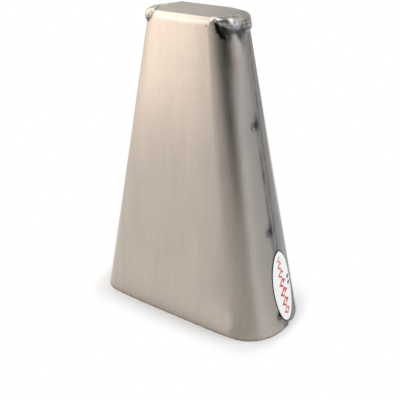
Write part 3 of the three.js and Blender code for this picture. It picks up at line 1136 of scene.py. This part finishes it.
# Heat tints, dirt, soot, painted shade and weld metal on the steel. A gain is what a mask is multiplied by,
# at random
BLUSH_TINT = (1.0, 0.74, 0.60)
BLUSH_GAIN = (0.5, 1.2)
BURN_AND_SHADE_GAIN = (0.7, 1.25)
BURN_AND_SHADE_STOPS = [
    (0.0, (1.0, 1.0, 1.0)),
    (0.25, (0.95, 0.93, 0.90)),
    (0.45, (0.66, 0.64, 0.62)),
    (0.65, (0.42, 0.42, 0.45)),
    (0.85, (0.24, 0.27, 0.25)),
    (1.0, (0.15, 0.175, 0.155)),
]
SEAM_COLOUR = (0.052, 0.054, 0.050)
SEAM_GAIN = (0.6, 1.15)
SEAM_ROUGHNESS = 0.12
SOOT_AND_SHADE_COLOUR = (0.012, 0.013, 0.007)
SOOT_AND_SHADE_FLAKES = (0.36, 0.64)
SOOT_AND_SHADE_SWING = (-0.42, 0.42)
SOOT_AND_SHADE_BAND = (0.30, 0.76)
SOOT_AND_SHADE_START = (0.02, 0.2)
SOOT_ROUGHNESS = 0.25
SOOT_DEPTH = 0.12 * MM
WELD_STOPS = [
    (0.30, (0.30, 0.29, 0.28)),
    (0.45, (0.42, 0.40, 0.38)),
    (0.56, (0.52, 0.48, 0.48)),
    (0.68, (0.60, 0.56, 0.54)),
    (0.80, (0.40, 0.37, 0.37)),
]
WELD_ROUGHNESS = (0.30, 0.42)
WELD_DEPTH = 0.08 * MM


def steel_material(name):
    """Brushed steel with its grain up the walls and along the crown, stained and given painted shade by its
    masks.
    """
    shader = Shader(name)
    up = shader.facing_up()
    level = shader.spread(up, *LEVEL_BAND)

    def grained(fine, long, detail, roughness):
        rising = shader.noise((fine, fine, long), detail, roughness)
        lying = shader.noise((long, fine, fine), detail, roughness)
        return shader.mix_values(level, rising, lying)

    def mask(name, gain):
        return shader.times(shader.attribute(name), shader.spread(smudge, *NOISE_BAND, *gain), clamp=True)

    streaks = grained(STREAK_FINE, STREAK_LONG, 3, 0.7)
    bands = grained(BAND_FINE, BAND_LONG, 2, 0.6)
    blotches = shader.noise(BLOTCH_SCALE, 4)
    specks = shader.noise(SPECK_SCALE, 4, 0.6)
    smudge = shader.noise(SMUDGE_SCALE, 5, 0.65)
    flakes = shader.noise(FLAKE_SCALE, 4, 0.7)
    clouds = shader.noise(CLOUD_SCALE, 4)
    tone = shader.weigh((blotches, BLOTCH_WEIGHT), (streaks, STREAK_WEIGHT), (bands, BAND_WEIGHT),
                        (specks, SPECK_WEIGHT))
    colour = shader.blend(shader.spread(tone, *TONE_BAND), STEEL_DARK, STEEL_LIGHT)
    dull = shader.math("SUBTRACT", 1.0, shader.times(shader.attribute("dull"), DULL_SHARE))
    colour = shader.blend(1.0, colour, dull, "MULTIPLY")
    # Painted shade on the crown's up-facing top
    colour = shader.blend(shader.spread(up, *CROWN_TOP_SHADE_BAND), colour, CROWN_TOP_SHADE, "MULTIPLY")
    colour = shader.blend(mask("blush", BLUSH_GAIN), colour, BLUSH_TINT, "MULTIPLY")
    # Heat burns, with painted shade along the rim, down the right side and over the bead's bright edge
    burn_and_shade = shader.ramp(mask("burn_and_shade_tint", BURN_AND_SHADE_GAIN), BURN_AND_SHADE_STOPS)
    colour = shader.blend(1.0, colour, burn_and_shade, "MULTIPLY")
    seam = mask("seam", SEAM_GAIN)
    colour = shader.blend(seam, colour, SEAM_COLOUR)
    weld = shader.attribute("weld")
    colour = shader.blend(weld, colour, shader.ramp(clouds, WELD_STOPS))
    # Soot, and painted shade in the creases and under the beads' lips, darken the colour to near black
    soot_and_crease_shade = shader.math("ADD", shader.attribute("soot_and_shade"), shader.attribute("crease_shade"))
    flaky = shader.weigh((flakes, 0.5), (smudge, 0.5))
    ragged = shader.math("ADD", soot_and_crease_shade, shader.spread(flaky, *SOOT_AND_SHADE_FLAKES, *SOOT_AND_SHADE_SWING))
    soot_and_shade = shader.times(shader.spread(ragged, *SOOT_AND_SHADE_BAND), shader.spread(soot_and_crease_shade, *SOOT_AND_SHADE_START))
    colour = shader.blend(soot_and_shade, colour, SOOT_AND_SHADE_COLOUR)
    brushed = shader.spread(streaks, *NOISE_BAND, *STREAK_ROUGHNESS)
    rough = shader.math("ADD", brushed, shader.spread(smudge, *NOISE_BAND, *SMUDGE_ROUGHNESS))
    rough = shader.mix_values(weld, rough, shader.spread(clouds, *NOISE_BAND, *WELD_ROUGHNESS))
    rough = shader.math("ADD", rough, shader.times(soot_and_shade, SOOT_ROUGHNESS))
    rough = shader.math("ADD", rough, shader.times(seam, SEAM_ROUGHNESS))
    normal = shader.bump(streaks, STREAK_DEPTH, 0.6)
    normal = shader.bump(shader.times(flakes, weld), WELD_DEPTH, 0.5, normal)
    normal = shader.bump(shader.times(flakes, soot_and_shade), SOOT_DEPTH, 0.6, normal)
    shader.set(Base_Color=colour, Roughness=rough, Metallic=1.0, Normal=normal)
    return shader.material


SPOT_STOPS = [(0.3, (0.26, 0.235, 0.212)), (0.5, (0.34, 0.305, 0.272)), (0.7, (0.42, 0.375, 0.332))]
SPOT_CLOUD_SCALE = (420, 420, 420)
SPOT_FINE_SCALE = (2400, 2400, 2400)
SPOT_ROUGHNESS = (0.3, 0.44)
SPOT_DEPTH = 0.04 * MM


def spot_material():
    shader = Shader("spot_weld_metal")
    colour = shader.ramp(shader.noise(SPOT_CLOUD_SCALE, 4), SPOT_STOPS)
    # The seam mask's dirt and painted shade darken the caps too
    colour = shader.blend(shader.attribute("seam"), colour, SEAM_COLOUR)
    fine = shader.noise(SPOT_FINE_SCALE)
    rough = shader.spread(fine, *NOISE_BAND, *SPOT_ROUGHNESS)
    shader.set(Base_Color=colour, Roughness=rough, Metallic=1.0, Normal=shader.bump(fine, SPOT_DEPTH, 0.4))
    return shader.material


# Label's print, in shares of its width and length. Each mark has its middle and its half width and height
PAPER_DARK = (0.93, 0.925, 0.905)
PAPER_LIGHT = (0.97, 0.965, 0.95)
PAPER_SCALE = (700, 700, 700)
PAPER_ROUGHNESS = (0.3, 0.38)
PAPER_DEPTH = 0.02 * MM
PRINT_RED = (0.66, 0.10, 0.085)
PRINT_GREY = (0.10, 0.095, 0.10)
PRINT_EDGE = (0.05, 0.045, 0.045)
PRINT_EDGE_RADIUS = 0.478
LOZENGE_HOLE = 0.5
LOZENGES = [
    (0, 0.375, 0.13, 0.045),
    (0, 0.285, 0.16, 0.052),
    (0, 0.175, 0.19, 0.062),
    (0, 0.050, 0.22, 0.070),
    (0, -0.085, 0.24, 0.072),
    (0, -0.220, 0.22, 0.070),
    (0, -0.340, 0.18, 0.055),
]
SMALL_MARKS = [(0.34, -0.0225, 0.09, 0.036), (0.34, 0.0625, 0.09, 0.036)]


def label_material():
    """White vinyl with a dark rim line, a plain pattern of red lozenges and two small grey ones."""
    shader = Shader("label_vinyl")
    uv = shader.add("ShaderNodeUVMap", uv_map="print").outputs["UV"]
    across, along, _ = shader.split(shader.vector("SUBTRACT", uv, (0.5, 0.5, 0)))

    def distance(mark):
        """Distance from a mark's middle, which is 1 on its outline."""
        aside, above, half_width, half_height = mark
        parts = []
        for place, middle, half in ((across, aside, half_width), (along, above, half_height)):
            offset = shader.math("SUBTRACT", place, middle)
            parts.append(shader.math("ABSOLUTE", shader.math("DIVIDE", offset, half)))
        return shader.math("ADD", *parts)

    paper = shader.noise(PAPER_SCALE)
    colour = shader.blend(shader.spread(paper, *NOISE_BAND), PAPER_DARK, PAPER_LIGHT)
    for lozenge in LOZENGES:
        far = distance(lozenge)
        inside = shader.math("LESS_THAN", far, 1.0)
        colour = shader.blend(shader.times(inside, shader.math("GREATER_THAN", far, LOZENGE_HOLE)),
                              colour, PRINT_RED)
    for mark in SMALL_MARKS:
        colour = shader.blend(shader.math("LESS_THAN", distance(mark), 1.0), colour, PRINT_GREY)
    squares = shader.math("ADD", shader.times(across, across), shader.times(along, along))
    rim = shader.math("GREATER_THAN", shader.math("SQRT", squares), PRINT_EDGE_RADIUS)
    colour = shader.blend(rim, colour, PRINT_EDGE)
    rough = shader.spread(paper, *NOISE_BAND, *PAPER_ROUGHNESS)
    shader.set(Base_Color=colour, Roughness=rough, Normal=shader.bump(paper, PAPER_DEPTH, 0.2))
    return shader.material


# Bell
body = add_piece("bell_body", body_mesh(), steel_material("brushed_steel"), "steel_sheet", "body_sheet")
write_masks(body, "soot_and_shade", "burn_and_shade_tint", "blush", "seam", "dull")
bevel = body.modifiers.new("rounded_edges", "BEVEL")
bevel.width = EDGE_ROUND
bevel.segments = EDGE_SEGMENTS
bevel.limit_method = "ANGLE"
bevel.angle_limit = EDGE_ANGLE

bead_metal = steel_material("weld_bead_metal")
spot_metal = spot_material()
for side_name, side in SIDES.items():
    mesh = bead_mesh(f"{side_name}_bead", side)
    bead = add_piece(f"{side_name}_crown_bead", mesh, bead_metal, "weld_metal", f"{side_name}_crown_weld")
    write_masks(bead, "soot_and_shade", "burn_and_shade_tint", "dull")
    mesh = tack_mesh(f"{side_name}_tack", side)
    add_piece(f"{side_name}_tack", mesh, bead_metal, "weld_metal", f"{side_name}_mouth_tack")
    for number, (level, middle) in enumerate(SPOTS[side]):
        mesh = spot_mesh(f"{side_name}_{level}", side, middle, 5 * number)
        node = f"{side_name}_spot_weld_{level}"
        spot = add_piece(f"{side_name}_{level}_spot", mesh, spot_metal, "spot_metal", node)
        write_masks(spot, "seam")
add_piece("label", label_mesh(), label_material(), "label_vinyl", "oval_label")

# Floor. The foot is the place of the bell's shadow: an oval, beyond which the floor fades to plain white
FLOOR_RADIUS = 6.0
FLOOR_SIDES = 96
FLOOR_COLOUR = (0.77, 0.785, 0.80)
FOOT_HALF = (60 * MM, 0.0, 0.0)
FOOT_RADII = (17.0 * MM, 36.0 * MM, 1.0)
FADE_RANGE = (0.94, 1.62)
MIRRORED_SHARE = 0.08


def add_floor():
    """Pale disc that turns to plain white away from the bell."""
    turns = [FULL_TURN * k / FLOOR_SIDES for k in range(FLOOR_SIDES)]
    corners = [(FLOOR_RADIUS * math.cos(turn), FLOOR_RADIUS * math.sin(turn), 0) for turn in turns]
    floor = add_object("floor", new_mesh("floor", corners, [tuple(range(FLOOR_SIDES))]))
    shader = Shader("pale_floor")
    beyond = shader.vector("SUBTRACT", shader.vector("ABSOLUTE", shader.place()), FOOT_HALF)
    beyond = shader.vector("MAXIMUM", beyond, (0, 0, 0))
    far = shader.vector("LENGTH", shader.vector("DIVIDE", beyond, FOOT_RADII), output="Value")
    fade = shader.spread(far, *FADE_RANGE, curve="SMOOTHSTEP")
    mirrored = shader.times(shader.light_path("Is Glossy Ray"), MIRRORED_SHARE)
    share = shader.times(shader.math("MAXIMUM", fade, mirrored), shader.sees_background())
    diffuse = shader.add("ShaderNodeBsdfDiffuse", {"Color": FLOOR_COLOUR})
    white = shader.add("ShaderNodeEmission")
    shader.show(shader.add("ShaderNodeMixShader", {0: share, 1: diffuse.outputs[0], 2: white.outputs[0]}))
    floor.data.materials.append(shader.material)


add_floor()

# White studio
WORLD_STRENGTH = 0.64

world = bpy.data.worlds.new("white_studio")
world.cycles.sampling_method = "NONE"
tree = Tree(world)
background = tree.nodes["Background"]
tree.feed(background.inputs["Color"], (1, 1, 1))
tree.feed(background.inputs["Strength"], tree.spread(tree.sees_background(), 0, 1, WORLD_STRENGTH, 1))
bpy.context.scene.world = world

# Studio walls. Azimuths are in degrees, seen from the bell, from the playing face towards the right side.
# The key wall lights the playing face; its shades are given for three levels
WALL_DISTANCE = 0.62
WALL_STEP = 2 * DEG
WALL_ROWS = 20
KEY_AZIMUTHS = (-165.0, -26.0)
KEY_HEIGHTS = (0.03, 1.25)
KEY_LEVELS = (0.07, 0.42, 0.54)
KEY_SHADES = [
    [
        (-165, 0.6), (-130, 0.75), (-90, 1.35), (-60, 1.75),
        (-45, 2.1), (-37.5, 2.25), (-36, 2.36), (-26, 1.52),
    ],
    [(-165, 0.4), (-132, 0.5), (-105, 1.7), (-60, 2.1), (-37, 2.3), (-33, 2.65), (-26, 2.4)],
    [(-165, 2.0), (-140, 2.5), (-26, 2.75)],
]
KEY_COLOUR = (1.0, 0.925, 0.885)
KEY_HIGH_COLOUR = (1.0, 0.98, 0.94)

# The grey wall is seen in the right side. Its shades go by the turn: an azimuth over its bright edge's
WALL_AZIMUTHS = (-26.0, 195.0)
WALL_HEIGHTS = (0.0, 0.75)
WALL_TINTS = [
    (20, (0.97, 0.97, 0.97)),
    (55, (0.93, 0.97, 0.98)),
    (85, (0.93, 0.97, 1.03)),
    (130, (0.87, 0.96, 1.07)),
]
EDGE_AZIMUTHS = [(0.0, 65), (0.03, 68), (0.085, 76), (0.145, 84), (0.2, 99), (0.25, 114), (0.75, 156)]
CONTRASTS = [(0.0, 0.5), (0.03, 0.7), (0.085, 0.9), (0.145, 1.0)]
MIDDLE_SHADE = 0.72
LEAST_SHADE = 0.02
TURN_SHADES = [
    (-0.40, 1.20), (-0.25, 0.98), (0.0, 0.80), (0.12, 0.71), (0.3, 0.46),
    (0.5, 0.16), (0.62, 0.02), (0.89, 0.02), (1.0, 0.42), (1.1, 1.55),
    (1.24, 1.20), (1.42, 0.71), (1.65, 0.51), (1.9, 0.50), (2.3, 0.54),
]
LOW_DIM = 0.40
LOW_MIDDLE = 0.05
LOW_REACH = 0.30
LOW_RISE = 0.10

# The mat carries the grey wall's shades on over the floor. Each ring has a radius, and shares of the dimming
# and of the light at the rear
MAT_AZIMUTHS = (-26.0, 165.0)
MAT_COLUMNS = 96
MAT_RINGS = [
    (0.082, 0.0, 0.50),
    (0.098, 0.0, 0.70),
    (0.125, 0.0, 1.0),
    (0.2, 0.15, 1.0),
    (0.3, 0.42, 1.0),
    (0.45, 0.95, 1.0),
    (0.62, 1.0, 1.0),
]
MAT_INNER_RADIUS = 0.063
MAT_INNER_START = 34.0
MAT_LIFT = 0.3 * MM
MAT_MIDDLE = 0.80
MAT_CONTRAST = 0.25
MAT_TINT_START = -10.0
MAT_BLEND = 14.0
MAT_REAR_START = 88.0
MAT_REAR_BLEND = 22.0


def polar_place(azimuth, radius, z):
    return (radius * math.sin(azimuth * DEG), -radius * math.cos(azimuth * DEG), z)


def add_card(name, places, colours, ring, reflections_only):
    """Curved studio card that glows and that the camera doesn't see: a grid of places with a colour each."""
    mesh = new_mesh(name, places, grid_faces(len(places) // ring - 1, ring, False))
    attribute = mesh.attributes.new("shade", "FLOAT_COLOR", "POINT")
    attribute.data.foreach_set("color", [channel for colour in colours for channel in (*colour, 1.0)])
    card = add_object(name, mesh)
    card.visible_camera = False
    if reflections_only:
        card.visible_diffuse = False
        card.visible_shadow = False
    shader = Shader(name)
    shade = shader.add("ShaderNodeAttribute", attribute_name="shade").outputs["Color"]
    shader.show(shader.add("ShaderNodeEmission", {"Color": shade}))
    mesh.materials.append(shader.material)


def add_wall(name, azimuths, heights, colour_at, reflections_only):
    """Studio wall round the bell."""
    columns = round((azimuths[1] - azimuths[0]) * DEG / WALL_STEP)
    places = []
    colours = []
    for i in range(columns + 1):
        azimuth = mix(*azimuths, i / columns)
        for k in range(WALL_ROWS + 1):
            z = mix(*heights, k / WALL_ROWS)
            places.append(polar_place(azimuth, WALL_DISTANCE, z))
            colours.append(colour_at(azimuth, z))
    add_card(name, places, colours, WALL_ROWS + 1, reflections_only)


def key_colour(azimuth, z):
    shade = float(np.interp(z, KEY_LEVELS, [read_off(azimuth, shades) for shades in KEY_SHADES]))
    share = smoothstep((z - KEY_LEVELS[1]) / (KEY_LEVELS[2] - KEY_LEVELS[1]))
    return [mix(warm, pale, share) * shade for warm, pale in zip(KEY_COLOUR, KEY_HIGH_COLOUR)]


def low_dim(turn, share):
    """Loss of light low down beside the key, where a share of it is shaded."""
    return 1 - LOW_DIM * share * hump(turn - LOW_MIDDLE, LOW_REACH)


def tinted(azimuth, shade):
    places, tints = zip(*WALL_TINTS)
    return [float(np.interp(azimuth, places, channel)) * shade for channel in zip(*tints)]


def wall_colour(azimuth, z):
    """Colour of the grey wall: dark beside the camera, with a bright edge that leans back as it rises."""
    turn = azimuth / read_off(z, EDGE_AZIMUTHS)
    shade = max(LEAST_SHADE, mix(MIDDLE_SHADE, read_off(turn, TURN_SHADES), read_off(z, CONTRASTS)))
    return tinted(azimuth, shade * low_dim(turn, 1 - smoothstep(z / LOW_RISE)))


def mat_colour(azimuth, dim, rear):
    turn = azimuth / EDGE_AZIMUTHS[0][1]
    shade = mix(MAT_MIDDLE, read_off(turn, TURN_SHADES), MAT_CONTRAST)
    shade *= mix(1.0, rear, smoothstep((azimuth - MAT_REAR_START) / MAT_REAR_BLEND))
    dimmed = low_dim(turn, dim * smoothstep((azimuth - MAT_AZIMUTHS[0]) / MAT_BLEND))
    share = smoothstep((azimuth - MAT_TINT_START) / MAT_BLEND)
    return [mix(1.0, channel, share) * dimmed for channel in tinted(azimuth, shade)]


def mat_radius(azimuth, radius):
    """Radius of a ring of the mat. The first ring comes in to the mouth's corner."""
    if radius > MAT_RINGS[0][0]:
        return radius
    return mix(radius, MAT_INNER_RADIUS, smoothstep((azimuth - MAT_INNER_START) / MAT_BLEND))


def add_mat():
    places = []
    colours = []
    for i in range(MAT_COLUMNS + 1):
        azimuth = mix(*MAT_AZIMUTHS, i / MAT_COLUMNS)
        for radius, dim, rear in MAT_RINGS:
            places.append(polar_place(azimuth, mat_radius(azimuth, radius), MAT_LIFT))
            colours.append(mat_colour(azimuth, dim, rear))
    add_card("grey_mat", places, colours, len(MAT_RINGS), True)


add_wall("key_wall", KEY_AZIMUTHS, KEY_HEIGHTS, key_colour, False)
add_wall("grey_wall", WALL_AZIMUTHS, WALL_HEIGHTS, wall_colour, True)
add_mat()

# Soft light from above on the right side, and the camera at the photograph's angle
TOP_AZIMUTH = 125 * DEG
TOP_ELEVATION = 50 * DEG
TOP_DISTANCE = 1.1
TOP_SIZE = 0.7
TOP_RADIANCE = 3.4
CAMERA_AZIMUTH = 34.318 * DEG
CAMERA_ELEVATION = 27.426 * DEG
CAMERA_ROLL = -0.4285 * DEG
CAMERA_DISTANCE = 478.3 * MM
CAMERA_SIDE = 0.42 * MM
CAMERA_HEIGHT = 81.6 * MM
CAMERA_LENS_MM = 57.983
SENSOR_WIDTH_MM = 36.0


def outward(azimuth, elevation):
    """Direction from the bell to a place in the studio."""
    level = math.cos(elevation)
    return Vector((math.sin(azimuth) * level, -math.cos(azimuth) * level, math.sin(elevation)))


def add_top_light():
    light = bpy.data.lights.new("top_softbox", "AREA")
    light.shape = "SQUARE"
    light.size = TOP_SIZE
    light.energy = TOP_RADIANCE * math.pi * TOP_SIZE ** 2
    softbox = add_object("top_softbox", light)
    back = outward(TOP_AZIMUTH, TOP_ELEVATION)
    softbox.location = Vector((0, 0, BELL_HEIGHT / 2)) + back * TOP_DISTANCE
    softbox.rotation_mode = "QUATERNION"
    softbox.rotation_quaternion = (-back).to_track_quat("-Z", "Y")
    softbox.visible_camera = False


def add_camera():
    data = bpy.data.cameras.new("camera")
    data.lens = CAMERA_LENS_MM
    data.sensor_width = SENSOR_WIDTH_MM
    camera = add_object("camera", data)
    back = outward(CAMERA_AZIMUTH, CAMERA_ELEVATION)
    level = Vector((math.cos(CAMERA_AZIMUTH), math.sin(CAMERA_AZIMUTH), 0))
    across = level * math.cos(CAMERA_ROLL) + back.cross(level) * math.sin(CAMERA_ROLL)
    camera.location = level * CAMERA_SIDE + Vector((0, 0, CAMERA_HEIGHT)) + back * CAMERA_DISTANCE
    camera.rotation_mode = "QUATERNION"
    camera.rotation_quaternion = Matrix((across, back.cross(across), back)).transposed().to_quaternion()
    return camera


add_top_light()
bpy.context.scene.camera = add_camera()
bpy.context.scene.view_settings.view_transform = "Standard"
